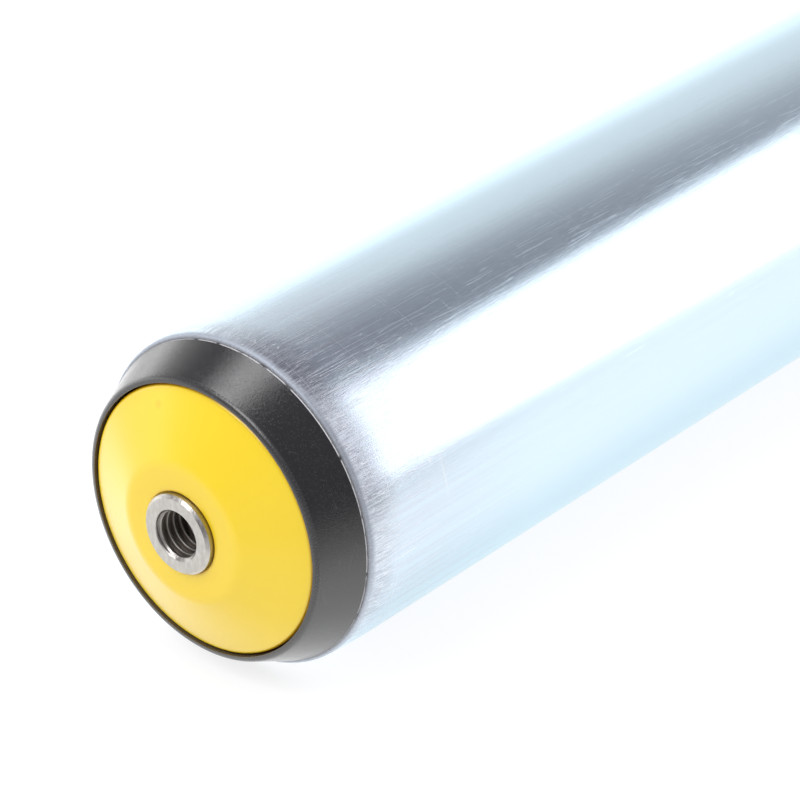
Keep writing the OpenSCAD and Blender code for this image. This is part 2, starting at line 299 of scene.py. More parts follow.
def makeTurning():
    # Lathe marks: noise that changes with the distance from the Y axis and along it, and hardly round it.
    tree, given, out = startGroup(
        "turning", [("Vector", "Vector", None), ("Pitch", "Float", 5000.0), ("Waver", "Float", 60.0)],
        [("Height", "Float"), ("Radius", "Float")])
    part = addNode(tree, "ShaderNodeSeparateXYZ", {0: given.outputs["Vector"]}).outputs
    flat = addNode(tree, "ShaderNodeCombineXYZ", {0: part[0], 2: part[2]}).outputs[0]
    radius = addNode(tree, "ShaderNodeVectorMath", {0: flat}, operation="LENGTH").outputs["Value"]
    across = times(tree, radius, given.outputs["Pitch"])
    along = times(tree, part[1], given.outputs["Pitch"])
    wavered = addNode(tree, "ShaderNodeVectorMath", {0: flat, 3: given.outputs["Waver"]}, operation="SCALE")
    ringed = addNode(tree, "ShaderNodeCombineXYZ", {0: across, 1: along}).outputs[0]
    where = addNode(tree, "ShaderNodeVectorMath", {0: ringed, 1: wavered.outputs[0]}, operation="ADD")
    noise = addNode(tree, "ShaderNodeTexNoise", {"Vector": where.outputs[0], "Scale": 1.0, "Detail": 2.0})
    tree.links.new(noise.outputs["Fac"], out.inputs["Height"])
    tree.links.new(radius, out.inputs["Radius"])
    return tree


def makeGrain():
    # Spark-eroded mould grain: fine noise over small rounded cells.
    tree, given, out = startGroup(
        "mouldGrain", [("Vector", "Vector", None), ("Scale", "Float", 5000.0)], [("Height", "Float")])
    noise = addNode(tree, "ShaderNodeTexNoise", {"Vector": given.outputs["Vector"], "Detail": 2.0,
                                                 "Scale": given.outputs["Scale"]}).outputs["Fac"]
    cells = addNode(tree, "ShaderNodeTexVoronoi", {
        "Vector": given.outputs["Vector"],
        "Scale": times(tree, given.outputs["Scale"], 0.7)}, feature="SMOOTH_F1")
    rounded = mathOf(tree, "MULTIPLY_ADD", cells.outputs["Distance"], 0.6, noise)
    tree.links.new(rounded, out.inputs["Height"])
    return tree


def makeClouds():
    # Slow change over the surface, such as handling marks and uneven plating.
    tree, given, out = startGroup(
        "clouds", [("Vector", "Vector", None), ("Scale", "Float", 60.0), ("Low", "Float", 0.35),
                   ("High", "Float", 0.65)], [("Mask", "Float")])
    noise = addNode(tree, "ShaderNodeTexNoise", {"Vector": given.outputs["Vector"], "Detail": 3.0,
                                                 "Scale": given.outputs["Scale"]}).outputs["Fac"]
    mask = rangeOf(tree, noise, given.outputs["Low"], given.outputs["High"])
    tree.links.new(mask, out.inputs["Mask"])
    return tree


streaks, scratches, specks = makeStreaks(), makeScratches(), makeSpecks()
turning, mouldGrain, clouds = makeTurning(), makeGrain(), makeClouds()
print("shader groups made")


tubeShape = {"wall": 1.5, "rolledLength": 5.0, "rolledIn": 0.3, "edgeRadius": 0.6, "blend": 60.0,
             "innerEdge": 0.12, "innerBlend": 6.0, "segments": 256}
flangeRadius = tubeRadius - tubeShape["rolledIn"] - tubeShape["edgeRadius"]


def makeTube():
    # The tube's outline: straight between the rolled zones, then sloping in to the rounded edge. The
    # slope is the tangent from the zone's start to the edge's circle.
    s = tubeShape
    zone = halfTube - s["rolledLength"]
    inner = tubeRadius - s["wall"]
    across, along = s["rolledIn"] + s["edgeRadius"], s["rolledLength"] - s["edgeRadius"]
    slope = math.acos(s["edgeRadius"] / math.hypot(across, along)) - math.atan2(along, across)
    corner = tubeRadius - s["rolledLength"] * math.tan(slope)
    upper = [(tubeRadius, zone, s["blend"]), (corner, halfTube, s["edgeRadius"]),
             (inner - s["rolledIn"], halfTube, s["innerEdge"]), (inner, zone, s["innerBlend"])]
    lower = [(r, -h, f) for r, h, f in reversed(upper)]
    outline, marks = roundedOutline(upper + lower, steps=8)
    return revolve("tube_finished", outline, marks, segments=s["segments"])


# The layers named in ragged, sandy, marks, rough and relief count there by their shares. Each
# change comes in over a span that is measured back from the tube's end, in mm.
plating = {"colour": (0.665, 0.80, 0.895, 1), "violet": (0.58, 0.58, 0.665, 1),
           "brushedLight": (0.74, 0.80, 0.89, 1), "brushedDark": (0.36, 0.365, 0.41, 1),
           "corner": (0.50, 0.54, 0.60, 1), "gapShadow": (0.30, 0.30, 0.32, 1),
           "bright": (0.92, 0.94, 0.97, 1), "grazing": (0.87, 0.98, 1.0, 1),
           "violetShare": (0.2, 0.52), "zoneShare": 0.85, "cornerShadeShare": 0.75,
           "roughness": 0.22, "zoneRoughness": 0.27, "bump": 0.5, "bumpDepth": 0.03,
           "zoneOver": (5.2, -0.4), "handledOver": (40.0, 6.0), "linedOver": (18.0, 3.0),
           "cornerOver": (1.3, 0.3), "gapShadowOver": (0.6, 0.4), "gapShadowWidth": 0.45,
           "ragged": {"brush": 2.5 * mm, "patchy": 1.0 * mm},
           "sandy": {"fine": 0.3, "brush": 0.5, "grain": 0.2},
           "marks": {"lines": 0.5, "rubs": 0.35, "endLines": 0.85},
           "rough": {"uneven": 0.25, "marks": 0.25, "corner": 0.4},
           "relief": {"broad": 0.3, "brush": 0.7, "grain": 0.3, "lines": -0.3, "endLines": -0.5,
                      "rubs": -0.2, "dots": 1.2},
           "layers": {
               "fine": (streaks, {"Stretch": (7500, 600, 7500)}),
               "brush": (streaks, {"Stretch": (4200, 130, 4200), "Detail": 2.0}),
               "broad": (streaks, {"Stretch": (1500, 14, 1500)}),
               "rubs": (scratches, {"Stretch": (12, 330, 12), "Width": 0.007, "Amount": 0.44}),
               "lines": (scratches, {"Stretch": (1700, 45, 1700), "Width": 0.010, "Amount": 0.47}),
               "endLines": (scratches, {"Stretch": (2100, 38, 2100), "Width": 0.018,
                                        "Amount": 0.55}),
               "dots": (specks, {"Scale": 420.0, "Size": 0.06, "Share": 0.10}),
               "grain": (clouds, {"Scale": 5200.0}),
               "patchy": (clouds, {"Scale": 140.0})}}


def makePlating():
    # Blue passivated zinc on a drawn tube: fine marks along it, brushed where the end was rolled in,
    # with a few rubs round it and specks near the ends. Painted shade makes the rounded edge darker and
    # greyer, and a painted shadow draws a dark line on the end face beside the plastic.
    s = plating
    material, tree, shader, place = startMaterial("plated_tube_finish", {
        "Metallic": 1.0, "Specular Tint": s["grazing"]})
    layer = makeLayers(tree, place, s["layers"])
    part = addNode(tree, "ShaderNodeSeparateXYZ", {0: place}).outputs
    away = mathOf(tree, "ABSOLUTE", part[1])
    radius = useGroup(tree, turning, {"Vector": place}).outputs["Radius"]
    # Where: the zone that was rolled in, with a ragged start, and how far handling reaches.
    zone = overSpan(tree, addShares(tree, away, layer, s["ragged"]), halfTube, s["zoneOver"])
    handled = overSpan(tree, away, halfTube, s["handledOver"], 0.15, 1.0)
    lined = overSpan(tree, away, halfTube, s["linedOver"])
    layer["endLines"] = times(tree, layer["endLines"], lined)
    # Colour: violet in broad streaks, sandy in the rolled zone, then painted shade greyer at the corner and
    # a painted shadow line past it on the end face.
    violet = times(tree, rangeOf(tree, layer["broad"], 0.3, 0.7, *s["violetShare"]), handled)
    tint = mixColour(tree, violet, s["colour"], s["violet"])
    sand = {"fine": rangeOf(tree, layer["fine"], 0.4, 0.6),
            "brush": rangeOf(tree, layer["brush"], 0.36, 0.62), "grain": layer["grain"]}
    sandy = addShares(tree, 0.0, sand, s["sandy"])
    brushed = mixColour(tree, sandy, s["brushedDark"], s["brushedLight"])
    tint = mixColour(tree, times(tree, zone, s["zoneShare"]), tint, brushed)
    # Painted shade: the rounded corner is tinted darker and greyer, which dims its highlight.
    corner = overSpan(tree, away, halfTube, s["cornerOver"])
    tint = mixColour(tree, times(tree, corner, s["cornerShadeShare"]), tint, s["corner"])
    # Painted shadow: a dark line on the tube's end face beside the plastic, where the gap is in shade.
    rim = mathOf(tree, "SUBTRACT", radius, flangeRadius * mm)
    gapShadow = times(tree, rangeOf(tree, rim, s["gapShadowWidth"] * mm, 0.0, smooth=False),
                   overSpan(tree, away, halfTube, s["gapShadowOver"]))
    tint = mixColour(tree, gapShadow, tint, s["gapShadow"])
    faint = {name: times(tree, layer[name], share) for name, share in s["marks"].items()}
    marks = times(tree, larger(tree, faint["lines"], faint["rubs"]), handled)
    marks = larger(tree, larger(tree, marks, layer["dots"]), faint["endLines"])
    tree.links.new(mixColour(tree, marks, tint, s["bright"]), shader.inputs["Base Color"])
    # Gloss: duller in the rolled zone, at the corner and on the marks.
    rough = rangeOf(tree, zone, 0, 1, s["roughness"], s["zoneRoughness"], smooth=False)
    duller = {"uneven": mathOf(tree, "SUBTRACT", layer["fine"], 0.5), "marks": marks, "corner": corner}
    tree.links.new(addShares(tree, rough, duller, s["rough"]), shader.inputs["Roughness"])
    # Relief: rubbed most on top of the roller, near its ends.
    rubbed = times(tree, handled, rangeOf(tree, part[2], 2 * mm, 14 * mm, 0.15, 1.0))
    height = times(tree, layer["fine"], rangeOf(tree, rubbed, 0, 1, 0.25, 1.1, smooth=False))
    layer["brush"] = times(tree, layer["brush"], zone)
    layer["grain"] = times(tree, layer["grain"], rubbed)
    height = addShares(tree, height, layer, s["relief"])
    setBump(tree, shader, height, s["bump"], s["bumpDepth"] * mm)
    return material


dress(makeTube(), makePlating(), "roller", "plated_tube", "tube")
print("tube made")


housingShape = {"coneHeight": 6.75, "coneAngle": math.radians(24), "groove": 0.25,
                "grooveSeen": 0.05, "lipRadius": 0.8, "lipRound": 1.05, "lipWall": 0.95,
                "lipBreak": 0.06, "barrelWall": 2.0, "barrelLead": 1.0, "rolledBlend": 3.0,
                "floorTop": 1.0, "floorBottom": -1.0, "seatRadius": 16.0, "bossRadius": 18.0,
                "bossEnd": -14.0, "openingRadius": 14.457, "openingEdge": 0.1, "ringWall": 0.9,
                "ringStep": 1.5497, "ribs": 12, "ribWall": 1.2, "ribSink": 1.0, "foot": 0.02,
                "sharp": 0.05, "edge": 0.2, "soft": 0.3}
capShape = {"gap": 0.2, "flatRadius": 10.25, "flatHeight": 10.9, "slope": math.radians(23.3),
            "flatFillet": 4.0, "rim": 0.8, "wall": 1.6, "ringEnd": 1.5, "ringGap": 0.5,
            "collarRadius": 9.393, "collarEnd": -1.0, "collarFillet": 0.1, "underFillet": 0.8,
            "sleeveRadius": 7.5, "sleeveEnd": -10.0, "bore": 6.0, "recess": 0.12,
            "recessDepth": 0.3, "recessEdge": 0.18, "recessFillet": 0.08, "sharp": 0.05,
            "edge": 0.2, "soft": 0.3}

# The lip's rounding touches the cone and the lip's top; its bore and the cap follow from it.
lipHeight = housingShape["groove"] + housingShape["coneHeight"]
lipCorner = flangeRadius - housingShape["coneHeight"] * math.tan(housingShape["coneAngle"])
lipTurn = math.pi / 2 - housingShape["coneAngle"]
lipCentre = lipCorner - housingShape["lipRadius"] * math.tan(lipTurn / 2)
lipOuter = lipCentre + housingShape["lipRadius"] * math.sin(lipTurn)
lipBore = lipOuter - housingShape["lipWall"]
capRadius = lipBore - capShape["gap"]


def capTop(radius):
    # Height of the cap's outer face: flat round the shaft, then falling at a steady slope.
    return capShape["flatHeight"] - max(0, radius - capShape["flatRadius"]) * math.tan(capShape["slope"])


def capUnder(radius):
    return capTop(radius) - capShape["wall"] / math.cos(capShape["slope"])


def standingRings(first):
    # Inner and outer radius of two rings of the labyrinth, counted in steps from the opening.
    s = housingShape
    starts = [s["openingRadius"] + (first + 2 * i) * s["ringStep"] for i in range(2)]
    return [(start, start + s["ringWall"]) for start in starts]


def makeHousing(end, side):
    s = housingShape
    sharp, edge, soft = s["sharp"], s["edge"], s["soft"]
    barrel = tubeRadius - tubeShape["wall"]
    barrelInside = barrel - s["barrelWall"]
    barrelEnd = (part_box("bearing_housing_" + end)[0 if side > 0 else 1].y / mm) * side - halfTube
    corners = [
        (barrel - s["barrelLead"], barrelEnd, edge), (barrel, barrelEnd + s["barrelLead"], soft),
        (barrel, -tubeShape["rolledLength"], s["rolledBlend"]),
        (barrel - tubeShape["rolledIn"], 0, sharp),
        (flangeRadius - 2 * s["grooveSeen"], 0, s["foot"]),
        (flangeRadius, s["grooveSeen"], s["foot"]), (flangeRadius, s["groove"], sharp),
        (lipCorner, lipHeight, s["lipRound"]), (lipBore, lipHeight, s["lipBreak"]),
        (lipBore, s["floorTop"], soft)]
    for inner, outer in reversed(standingRings(0)):
        top = capUnder(outer) - capShape["ringGap"]
        corners += [(outer, s["floorTop"], edge), (outer, top, edge), (inner, top, edge),
                    (inner, s["floorTop"], edge)]
    corners[-1] = (s["openingRadius"], s["floorBottom"], s["openingEdge"])
    corners += [(s["seatRadius"], s["floorBottom"], sharp), (s["seatRadius"], s["bossEnd"], soft),
                (s["bossRadius"], s["bossEnd"], soft), (s["bossRadius"], s["floorBottom"], soft),
                (barrelInside, s["floorBottom"], soft), (barrelInside, barrelEnd, edge)]
    outline, marks = roundedOutline(corners, steps=8)
    housing = revolve("housing_finished_" + end, outline, marks, side, halfTube)
    addRibs(housing, side, barrelInside)
    return housing


def addRibs(housing, side, barrelInside):
    # Flat ribs from the boss to the barrel, spaced evenly and joined to the moulding by a union.
    s = housingShape
    low, high = s["bossRadius"] - s["ribSink"], barrelInside + s["ribSink"]
    top, bottom = (s["floorTop"] + s["floorBottom"]) / 2, s["bossEnd"]
    unit = np.array([[r, h, w] for r in (low, high) for h in (bottom, top) for w in (-1, 1)], float)
    turn = np.arange(s["ribs"])[:, None] * 2 * np.pi / s["ribs"]
    r, h, w = unit[None, :, 0], unit[None, :, 1], unit[None, :, 2] * s["ribWall"] / 2
    x = r * np.cos(turn) - w * np.sin(turn)
    z = r * np.sin(turn) + w * np.cos(turn)
    y = np.broadcast_to(side * (halfTube + h), x.shape)
    points = np.stack([x, y, z], axis=-1).reshape(-1, 3) * mm
    box = np.array([[0, 1, 3, 2], [4, 6, 7, 5], [0, 4, 5, 1], [2, 3, 7, 6], [0, 2, 6, 4], [1, 5, 7, 3]])
    faces = (np.arange(s["ribs"])[:, None, None] * 8 + (box if side > 0 else box[:, ::-1])).reshape(-1, 4)
    ribs = meshObject("ribs", points, faces)
    union = housing.modifiers.new("ribs", "BOOLEAN")
    union.operation, union.object, union.solver = "UNION", ribs, "EXACT"
    bpy.context.view_layer.update()
    evaluated = housing.evaluated_get(bpy.context.evaluated_depsgraph_get())
    joined = bpy.data.meshes.new_from_object(evaluated)
    housing.modifiers.remove(union)
    housing.data = joined
    bpy.data.objects.remove(ribs)


# Spans are in mm: out from the tube's end, short of the cone's foot, and in to the lip's bore.
blackPlastic = {"colour": (0.010, 0.010, 0.011, 1), "scuffed": (0.075, 0.075, 0.078, 1),
                "capReflection": (0.11, 0.09, 0.055, 1), "paintedGlint": (0.75, 0.75, 0.77, 1), "gloss": 1.75,
                "roughness": 0.18, "lipRoughness": 0.22, "coneDust": 0.45, "lipDust": 0.1,
                "scuffShare": 0.4, "edgeWear": 0.3, "lipRelief": 0.7, "bump": 0.85,
                "bumpDepth": 0.03, "lipOver": (-6.0, -6.3), "glintFootOver": (0.05, 0.02),
                "lowOver": (-0.28, -0.24), "boreOver": (-0.08, -0.03), "shallowOver": (-3.0, -6.0),
                "rough": {"grain": 0.06}, "relief": {"dust": 0.5},
                "layers": {
                    "grain": (mouldGrain, {"Scale": 6500.0}),
                    "scuffs": (scratches, {"Stretch": (130, 420, 130), "Width": 0.012,
                                           "Amount": 0.4}),
                    "dust": (specks, {"Scale": 5200.0, "Size": 0.6, "Share": 0.6}),
                    "broken": (clouds, {"Scale": 700.0, "Low": 0.28, "High": 0.5})}}


def makeBlackPlastic():
    # Polyamide with a fine mould grain, duller on the rounded lip, with dust and a few scuffs. A broken
    # bright line round its foot is a painted highlight, and the lip's inner wall carries a painted
    # reflection of the yellow cap beside it.
    s = blackPlastic
    material, tree, shader, place = startMaterial("housing_plastic_finish", {"IOR": s["gloss"]})
    layer = makeLayers(tree, place, s["layers"])
    radius = useGroup(tree, turning, {"Vector": place}).outputs["Radius"]
    away = mathOf(tree, "ABSOLUTE", addNode(tree, "ShaderNodeSeparateXYZ", {0: place}).outputs[1])
    edge = addNode(tree, "ShaderNodeAttribute", attribute_name="edge").outputs["Fac"]
    lip = overSpan(tree, away, halfTube, s["lipOver"])
    layer["dust"] = times(tree, layer["dust"],
                          rangeOf(tree, lip, 0, 1, s["coneDust"], s["lipDust"], smooth=False))
    worn = larger(tree, times(tree, layer["scuffs"], s["scuffShare"]), times(tree, edge, s["edgeWear"]))
    colour = mixColour(tree, larger(tree, worn, layer["dust"]), s["colour"], s["scuffed"])
    # Painted highlight: a broken bright line round the cone's foot, as if its edge caught the light.
    foot = times(tree, overSpan(tree, radius, flangeRadius, s["glintFootOver"]),
                 overSpan(tree, away, halfTube, s["lowOver"]))
    colour = mixColour(tree, times(tree, foot, layer["broken"]), colour, s["paintedGlint"])
    # Painted reflection: the lip's inner wall is warmed brown as if reflecting the yellow cap beside it.
    capReflection = times(tree, overSpan(tree, radius, lipBore, s["boreOver"]),
                   overSpan(tree, away, halfTube, s["shallowOver"]))
    colour = mixColour(tree, capReflection, colour, s["capReflection"])
    tree.links.new(colour, shader.inputs["Base Color"])
    rough = rangeOf(tree, lip, 0, 1, s["roughness"], s["lipRoughness"], smooth=False)
    tree.links.new(addShares(tree, rough, layer, s["rough"]), shader.inputs["Roughness"])
    height = times(tree, layer["grain"], rangeOf(tree, lip, 0, 1, 1.0, s["lipRelief"], smooth=False))
    height = addShares(tree, height, layer, s["relief"])
    setBump(tree, shader, height, s["bump"], s["bumpDepth"] * mm)
    return material


housingBlack = makeBlackPlastic()
for end, side in (("a", -1), ("b", 1)):
    dress(makeHousing(end, side), housingBlack, "roller", "housing_plastic", "bearing_housing_" + end)
print("bearing housings made")


def makeCap(end, side):
    # The outline goes from the bore down the sleeve, out along the underside with its two rings, and
    # back over the rim, the slope and the flat to the recess round the shaft.
    s = capShape
    sharp, edge, soft = s["sharp"], s["edge"], s["soft"]
    hub = s["bore"] + s["recess"]
    (innerStart, innerEnd), (skirtStart, skirtEnd) = standingRings(1)
    corners = [
        (s["bore"], s["sleeveEnd"], edge), (s["sleeveRadius"], s["sleeveEnd"], soft),
        (s["sleeveRadius"], s["collarEnd"], s["collarFillet"]),
        (s["collarRadius"], s["collarEnd"], edge), (s["collarRadius"], capUnder(0), soft),
        (s["flatRadius"], capUnder(0), s["underFillet"]),
        (innerStart, capUnder(innerStart), edge), (innerStart, s["ringEnd"], edge),
        (innerEnd, s["ringEnd"], edge), (innerEnd, capUnder(innerEnd), edge),
        (skirtStart, capUnder(skirtStart), edge), (skirtStart, s["ringEnd"], edge),
        (skirtEnd, s["ringEnd"], edge), (capRadius, capTop(capRadius), s["rim"]),
        (s["flatRadius"], s["flatHeight"], s["flatFillet"]), (hub, s["flatHeight"], s["recessEdge"]),
        (hub, s["flatHeight"] - s["recessDepth"], s["recessFillet"]),
        (s["bore"], s["flatHeight"] - s["recessDepth"], sharp)]
    outline, marks = roundedOutline(corners, steps=6)
    return revolve("cap_finished_" + end, outline, marks, side, halfTube)


# Spans are in mm: from the gate's middle, from the hub's bore and short of the cap's rim.
yellowPlastic = {"colour": (0.98, 0.70, 0.004, 1), "deepAndShade": (0.95, 0.60, 0.003, 1),
                 "rimShade": (0.72, 0.32, 0.002, 1), "gloss": 1.75, "roughness": 0.24,
                 "gateRadius": 17.6, "gateAngle": math.radians(-22), "gateOver": (-0.9, -0.2),
                 "gateShare": 0.8, "cloudyShare": 0.2, "hubShadeOver": (-0.7, -0.2),
                 "rimShadeOver": (0.4, 0.05), "bump": 0.2, "bumpDepth": 0.01,
                 "rough": {"cloudy": 0.04}, "relief": {"grain": 0.25, "ring": 0.15, "gate": -1.5},
                 "turning": {"Pitch": 2600.0, "Waver": 40.0},
                 "layers": {"cloudy": (clouds, {"Scale": 60.0, "Low": 0.2, "High": 0.8}),
                            "grain": (mouldGrain, {"Scale": 2600.0})}}


def makeYellowPlastic():
    # Polypropylene with a soft gloss, very faint flow marks and the small spot of its gate. Painted shade
    # deepens the colour in the hub's recess and paints it deep orange down the side of the rim.
    s = yellowPlastic
    material, tree, shader, place = startMaterial("cap_plastic_finish", {"IOR": s["gloss"]})
    layer = makeLayers(tree, place, s["layers"])
    layer["ring"], radius = useGroup(tree, turning, {"Vector": place, **s["turning"]}).outputs
    gateX = s["gateRadius"] * mm * math.sin(s["gateAngle"])
    gateZ = s["gateRadius"] * mm * math.cos(s["gateAngle"])
    part = addNode(tree, "ShaderNodeSeparateXYZ", {0: place}).outputs
    fromGate = addNode(tree, "ShaderNodeCombineXYZ", {
        0: mathOf(tree, "SUBTRACT", part[0], gateX),
        2: mathOf(tree, "SUBTRACT", part[2], gateZ)}).outputs[0]
    gateAway = addNode(tree, "ShaderNodeVectorMath", {0: fromGate}, operation="LENGTH").outputs["Value"]
    layer["gate"] = overSpan(tree, gateAway, 0, s["gateOver"])
    # Painted shade: the colour deepens in the recess round the shaft.
    hub = overSpan(tree, radius, capShape["bore"], s["hubShadeOver"])
    side = overSpan(tree, radius, capRadius, s["rimShadeOver"])
    deeper = larger(tree, times(tree, layer["cloudy"], s["cloudyShare"]),
                    times(tree, layer["gate"], s["gateShare"]))
    colour = mixColour(tree, larger(tree, deeper, hub), s["colour"], s["deepAndShade"])
    # Painted shade: deep orange down the side of the rim.
    colour = mixColour(tree, side, colour, s["rimShade"])
    tree.links.new(colour, shader.inputs["Base Color"])
    tree.links.new(addShares(tree, s["roughness"], layer, s["rough"]), shader.inputs["Roughness"])
    height = addShares(tree, 0.0, layer, s["relief"])
    setBump(tree, shader, height, s["bump"], s["bumpDepth"] * mm)
    return material


capYellow = makeYellowPlastic()
for end, side in (("a", -1), ("b", 1)):
    dress(makeCap(end, side), capYellow, "shaft", "cap_plastic", "seal_cap_" + end)
print("seal caps made")


shaftShape = {"chamfer": 0.45, "core": 3.4, "coreDepth": 17.5, "mouth": 0.5, "mouthStep": 0.25,
              "major": 4.0, "pitch": 1.25, "crest": 0.125, "threadDepth": 15.0,
              "threadStart": 0.1, "threadFade": 0.4, "drillAngle": math.radians(59),
              "clipGroove": 0.25, "clipFrom": -11.0, "clipTo": -10.0, "grooveEdge": 0.05,
              "grooveFillet": 0.03, "barEdge": 0.08, "faceEdge": 0.06, "mouthEdge": 0.05,
              "rowsPerTurn": 16, "segments": 96}


def threadCut(t, radius, height):
    # Depth of a right-handed thread at each point of the hole's wall. Going down the hole, the phase
    # is depth / pitch less the turn round the axis; the cut is flat at crest and root with 60 degree
    # flanks between, and fades in at the mouth and out at the end of the thread.
    s = shaftShape
    full = s["major"] - s["core"]
    depth = halfShaft - np.abs(height)
    phase = (depth / s["pitch"] - np.sign(height) * t / (2 * np.pi)) % 1.0
    flank = full * math.tan(math.radians(30)) / s["pitch"]
    cut = np.clip((0.5 - np.abs(phase - 0.5) - s["crest"]) / flank, 0, 1)
    cut = cut * cut * (3 - 2 * cut) * full
    cut = cut * np.clip((depth - s["threadStart"]) / s["threadFade"], 0, 1)
    cut = cut * np.clip((s["threadDepth"] - depth) / s["pitch"], 0, 1)
    onWall = (radius < s["core"] + s["mouth"] - 0.02) & (radius > 0.9 * s["core"])
    return np.where(onWall, np.maximum(s["core"] + cut - radius, 0), 0)


def makeShaft():
    # Half of the outline goes from the middle out along the bar, over the retaining ring's groove and
    # the face, and down the tapped hole to the drill's point. The other half is its mirror image.
    s = shaftShape
    radius = shaftBox[1].x / mm
    face, waist = halfShaft, radius - s["clipGroove"]
    clipFrom, clipTo = halfTube + s["clipFrom"], halfTube + s["clipTo"]
    mouthRadius = s["core"] + s["mouth"]
    corners = [(radius, 0, 0), (radius, clipFrom, s["grooveEdge"]), (waist, clipFrom, s["grooveFillet"]),
               (waist, clipTo, s["grooveFillet"]), (radius, clipTo, s["grooveEdge"]),
               (radius, face - s["chamfer"], s["barEdge"]), (radius - s["chamfer"], face, s["faceEdge"]),
               (mouthRadius, face, s["mouthEdge"]),
               (mouthRadius - s["mouthStep"], face - s["mouthStep"], 0)]
    outer, outerMarks = roundedOutline(corners, closed=False, steps=3)
    rows = int(s["coreDepth"] / s["pitch"] * s["rowsPerTurn"])
    depth = np.linspace(s["mouthStep"] + 0.05, s["mouth"] + s["coreDepth"], rows)[:, None]
    wall = np.hstack([np.maximum(s["core"], mouthRadius - depth), face - depth])
    holeEnd = face - s["mouth"] - s["coreDepth"]
    tip = holeEnd - s["core"] / math.tan(s["drillAngle"])
    cone = np.array([[s["core"] / 2, (holeEnd + tip) / 2], [0.0, tip]])
    half = np.vstack([outer[1:], wall, cone])
    halfMarks = np.concatenate([outerMarks[1:], np.zeros(len(wall) + len(cone))])
    outline = np.vstack([half[::-1] * (1, -1), half])
    return revolve("shaft_finished", outline, np.concatenate([halfMarks[::-1], halfMarks]),
                   segments=s["segments"], widen=threadCut, poles=True)


# Spans are in mm: round the bore of the hole and out into its thread, and in from the end face.
steel = {"colour": (0.47, 0.455, 0.43, 1), "bright": (0.61, 0.60, 0.57, 1),
         "dullAndShade": (0.36, 0.31, 0.27, 1), "root": (0.15, 0.12, 0.10, 1), "roughness": 0.24,
         "bump": 0.6, "bumpDepth": 0.03, "cloudyShare": 0.2, "sawnShare": 0.8, "rootShare": 0.8,
         "holeOver": (-0.5, -0.1), "mouthOver": (-0.4, -1.0), "crestOver": (-0.12, -0.03),
         "rootOver": (-0.03, -0.15), "faceOver": (0.6, 0.4), "shadeDepth": (0.2, 4.0),
         "rough": {"ring": 0.16, "inHole": 0.25, "sawn": 0.1},
         "relief": {"marks": -0.5, "cloudy": 0.6, "sawn": 0.8},
         "turning": {"Pitch": 4200.0, "Waver": 90.0},
         "layers": {"marks": (scratches, {"Stretch": (900, 900, 900), "Width": 0.02, "Amount": 0.4}),
                    "sawn": (streaks, {"Stretch": (1700, 1700, 420), "Detail": 5.0}),
                    "cloudy": (clouds, {"Scale": 1300.0})}}


def makeShaftSteel():
    # Bright drawn bar, turned and chamfered at its ends with saw marks left on the face. Down the
    # tapped hole painted shade darkens it more with depth, and it is darkest at the root of its thread.
    s = steel
    major, core = shaftShape["major"], shaftShape["core"]
    material, tree, shader, place = startMaterial("shaft_steel_finish", {"Metallic": 1.0})
    layer = makeLayers(tree, place, s["layers"])
    layer["ring"], radius = useGroup(tree, turning, {"Vector": place, **s["turning"]}).outputs
    away = mathOf(tree, "ABSOLUTE", addNode(tree, "ShaderNodeSeparateXYZ", {0: place}).outputs[1])
    depth = mathOf(tree, "SUBTRACT", halfShaft * mm, away)
    inHole = times(tree, overSpan(tree, radius, major, s["holeOver"]),
                   overSpan(tree, depth, 0, s["mouthOver"]))
    offCrest = overSpan(tree, radius, core, s["crestOver"], 1.0, 0.2)
    first, last = s["shadeDepth"]
    # Painted shade: down the tapped hole the colour darkens with depth, less on the crests.
    holeShade = times(tree, inHole, rangeOf(tree, depth, first * mm, last * mm, smooth=False))
    dullAndShade = larger(tree, times(tree, layer["cloudy"], s["cloudyShare"]), times(tree, holeShade, offCrest))
    onFace = overSpan(tree, away, halfShaft, s["faceOver"])
    layer["sawn"] = times(tree, rangeOf(tree, layer["sawn"], 0.4, 0.66), onFace)
    colour = mixColour(tree, times(tree, layer["sawn"], s["sawnShare"]), s["colour"], s["bright"])
    colour = mixColour(tree, dullAndShade, colour, s["dullAndShade"])
    root = times(tree, overSpan(tree, radius, core, s["rootOver"]), times(tree, inHole, s["rootShare"]))
    tree.links.new(mixColour(tree, root, colour, s["root"]), shader.inputs["Base Color"])
    layer["inHole"] = inHole
    tree.links.new(addShares(tree, s["roughness"], layer, s["rough"]), shader.inputs["Roughness"])
    height = addShares(tree, layer["ring"], layer, s["relief"])
    setBump(tree, shader, height, s["bump"], s["bumpDepth"] * mm)
    return material


dress(makeShaft(), makeShaftSteel(), "shaft", "shaft_steel", "shaft")
print("shaft made")


bearingFinishes = {
    "bearing_steel": {"colour": (0.68, 0.69, 0.71, 1), "metallic": 1.0, "roughness": 0.12, "pitch": 9000.0},
    "shield_steel": {"colour": (0.58, 0.59, 0.61, 1), "metallic": 1.0, "roughness": 0.30, "pitch": 3500.0},
    "spring_steel": {"colour": (0.16, 0.16, 0.17, 1), "metallic": 1.0, "roughness": 0.45, "pitch": 2500.0},
    "cage_plastic": {"colour": (0.72, 0.66, 0.50, 1), "metallic": 0.0, "roughness": 0.50, "pitch": 1800.0},
    "seal_plastic": {"colour": (0.05, 0.05, 0.055, 1), "metallic": 0.0, "roughness": 0.48, "pitch": 1800.0}}
bearingLayers = {"cloudy": (clouds, {"Scale": 300.0}),
                 "dots": (specks, {"Scale": 900.0, "Size": 0.15, "Share": 0.1})}


